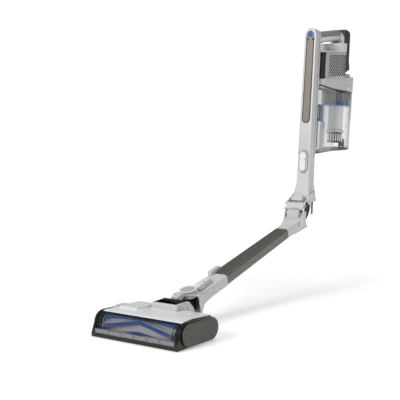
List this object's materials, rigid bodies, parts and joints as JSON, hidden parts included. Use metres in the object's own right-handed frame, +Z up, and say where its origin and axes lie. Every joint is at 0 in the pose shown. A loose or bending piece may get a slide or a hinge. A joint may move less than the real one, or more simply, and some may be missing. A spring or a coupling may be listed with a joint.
{
  "type": "cordless stick vacuum",
  "caption": "Cordless stick vacuum: motorised floor nozzle, wand with a double-pin flex hinge, and a hand vacuum with clear dust cup, motor pod and slide-out battery.",
  "frame": {"origin": "on the floor, middle of the felt strip under the nozzle", "axes": "+X across the nozzle, +Y from the nozzle's front to its back, +Z up"},
  "size_m": [0.2616, 1.0378, 0.7685],
  "materials": {
    "light_abs": "satin light grey moulding",
    "white_abs": "near-white moulding",
    "silver_abs": "silver paint",
    "dark_tube": "dark anodised",
    "dark_abs": "textured charcoal",
    "black_abs": "fine black texture",
    "clear": "clear polycarbonate",
    "smoke": "smoked polycarbonate",
    "bronze_clear": "bronze tinted polycarbonate",
    "blue_abs": "blue moulding",
    "rubber": "matte black",
    "grip": "soft-touch warm grey",
    "gloss_strip": "glossy inlay",
    "foam": "open-cell foam or felt",
    "steel": "turned"
  },
  "bodies": {
    "hand_vac": {"hand_tube": "light_abs", "display_strip": "gloss_strip", "inlet_duct": "black_abs", "grip_upper": "grip", "grip_lower": "light_abs", "pod_shell": "light_abs", "bridge_housing": "black_abs", "motor_housing": "silver_abs", "vent_grille_left": "dark_abs", "vent_grille_right": "dark_abs", "motor_can": "steel", "chassis_band": "silver_abs", "cup_seal": "rubber"},
    "power_button_body": {"power_button": "blue_abs"},
    "trigger_body": {"mode_trigger": "dark_abs"},
    "fan": {"impeller": "light_abs"},
    "cup_release": {"cup_release_button": "light_abs"},
    "battery": {"battery_pack": "black_abs"},
    "battery_catch": {"battery_latch": "dark_abs"},
    "cup": {"dust_cup": "clear", "door_pin": "steel", "filter_shroud": "bronze_clear", "foam_filter": "foam", "blue_ring": "blue_abs", "cyclone_cone": "white_abs", "screen_cage": "dark_abs", "inlet_port": "blue_abs"},
    "door": {"cup_door": "clear"},
    "door_catch": {"door_latch": "dark_abs"},
    "upper_wand": {"upper_wand_tube": "light_abs", "flex_hose": "rubber"},
    "upper_release": {"wand_release_button": "light_abs"},
    "link": {"hinge_link": "light_abs", "hinge_pin_upper": "dark_abs", "hinge_pin_lower": "dark_abs"},
    "lower_wand": {"lower_hinge_housing": "light_abs", "lower_tube": "dark_tube", "lower_collar": "light_abs"},
    "flex_catch": {"flex_latch": "light_abs"},
    "neck": {"neck_housing": "light_abs"},
    "neck_release": {"neck_release_button": "light_abs"},
    "knuckle_body": {"knuckle": "black_abs", "swivel_disc": "silver_abs", "pitch_pin": "steel"},
    "nozzle": {"nozzle_base": "dark_abs", "top_cover": "white_abs", "brush_window": "smoke", "front_strip": "clear", "end_cap_left": "dark_abs", "end_cap_right": "dark_abs", "pivot_bracket": "light_abs", "brush_motor": "steel", "drive_belt": "rubber", "felt_strip": "foam"},
    "brush_roll": {"brush_core": "blue_abs", "brush_fins": "rubber"},
    "pinion": {"drive_pinion": "steel"},
    "wheel_left": {"rear_wheel_left": "dark_abs"},
    "wheel_right": {"rear_wheel_right": "dark_abs"}
  },
  "joints": [
    {"name": "power_press", "type": "slide", "parent": "hand_vac", "child": "power_button_body", "axis": [0, 0.9954, -0.0958], "range_m": [0, 0.0015], "stiffness_N_per_m": 400},
    {"name": "trigger_press", "type": "slide", "parent": "hand_vac", "child": "trigger_body", "axis": [0, 0.0958, 0.9954], "range_m": [0, 0.0025], "stiffness_N_per_m": 400},
    {"name": "fan_spin", "type": "hinge", "parent": "hand_vac", "child": "fan", "pos_m": [0, 0.84951, 0.62609], "axis": [0, 0.0958, 0.9954], "continuous": true},
    {"name": "cup_release_press", "type": "slide", "parent": "hand_vac", "child": "cup_release", "axis": [-1, 0, 0], "range_m": [0, 0.002], "stiffness_N_per_m": 400},
    {"name": "battery_out", "type": "slide", "parent": "hand_vac", "child": "battery", "axis": [0, 0.0958, 0.9954], "range_m": [0, 0.06]},
    {"name": "battery_catch_press", "type": "slide", "parent": "battery", "child": "battery_catch", "axis": [0, -0.9954, 0.0958], "range_m": [0, 0.0015], "stiffness_N_per_m": 400},
    {"name": "cup_out", "type": "slide", "parent": "hand_vac", "child": "cup", "axis": [0, -0.0958, -0.9954], "range_m": [0, 0.06]},
    {"name": "door_swing", "type": "hinge", "parent": "cup", "child": "door", "pos_m": [0, 0.72803, 0.39949], "axis": [-1, 0, 0], "range_deg": [0, 80]},
    {"name": "door_catch_swing", "type": "hinge", "parent": "door", "child": "door_catch", "pos_m": [0, 0.92629, 0.40724], "axis": [-1, 0, 0], "range_deg": [0, 15], "stiffness_Nm_per_rad": 0.6},
    {"name": "upper_wand_out", "type": "slide", "parent": "hand_vac", "child": "upper_wand", "axis": [0, -0.0958, -0.9954], "range_m": [0, 0.06]},
    {"name": "upper_release_press", "type": "slide", "parent": "upper_wand", "child": "upper_release", "axis": [0, 0.9954, -0.0958], "range_m": [0, 0.0015], "stiffness_N_per_m": 400},
    {"name": "flex_upper", "type": "hinge", "parent": "upper_wand", "child": "link", "pos_m": [0, 0.6469, 0.2538], "axis": [-1, 0, 0], "range_deg": [-14.5, 65.5], "deforming": ["flex_hose"]},
    {"name": "flex_lower", "type": "hinge", "parent": "link", "child": "lower_wand", "pos_m": [0, 0.64143, 0.23876], "axis": [-1, 0, 0], "range_deg": [-55.2, 24.8], "deforming": ["flex_hose"]},
    {"name": "flex_catch_swing", "type": "hinge", "parent": "lower_wand", "child": "flex_catch", "pos_m": [0, 0.65159, 0.1768], "axis": [-1, 0, 0], "range_deg": [0, 8], "stiffness_Nm_per_rad": 0.6},
    {"name": "neck_out", "type": "slide", "parent": "lower_wand", "child": "neck", "axis": [0, -0.9668, -0.2554], "range_m": [0, 0.06]},
    {"name": "neck_release_press", "type": "slide", "parent": "neck", "child": "neck_release", "axis": [0, 0.2554, -0.9668], "range_m": [0, 0.0015], "stiffness_N_per_m": 400},
    {"name": "swivel", "type": "hinge", "parent": "neck", "child": "knuckle_body", "pos_m": [0, 0.11921, 0.0739], "axis": [0, 0.2554, -0.9668], "range_deg": [-30, 30]},
    {"name": "nozzle_pitch", "type": "hinge", "parent": "knuckle_body", "child": "nozzle", "pos_m": [0, 0.058, 0.057], "axis": [-1, 0, 0], "range_deg": [-5, 78]},
    {"name": "brush_spin", "type": "hinge", "parent": "nozzle", "child": "brush_roll", "pos_m": [0, -0.0522, 0.027], "axis": [1, 0, 0], "continuous": true},
    {"name": "pinion_spin", "type": "hinge", "parent": "nozzle", "child": "pinion", "pos_m": [0, 0.0138, 0.03], "axis": [1, 0, 0], "continuous": true},
    {"name": "wheel_left_spin", "type": "hinge", "parent": "nozzle", "child": "wheel_left", "pos_m": [-0.1006, 0.0148, 0.008], "axis": [1, 0, 0], "continuous": true},
    {"name": "wheel_right_spin", "type": "hinge", "parent": "nozzle", "child": "wheel_right", "pos_m": [0.1006, 0.0148, 0.008], "axis": [1, 0, 0], "continuous": true}
  ],
  "couplings": [
    {"joint": "pinion_spin", "follows": "brush_spin", "ratio": 2}
  ]
}
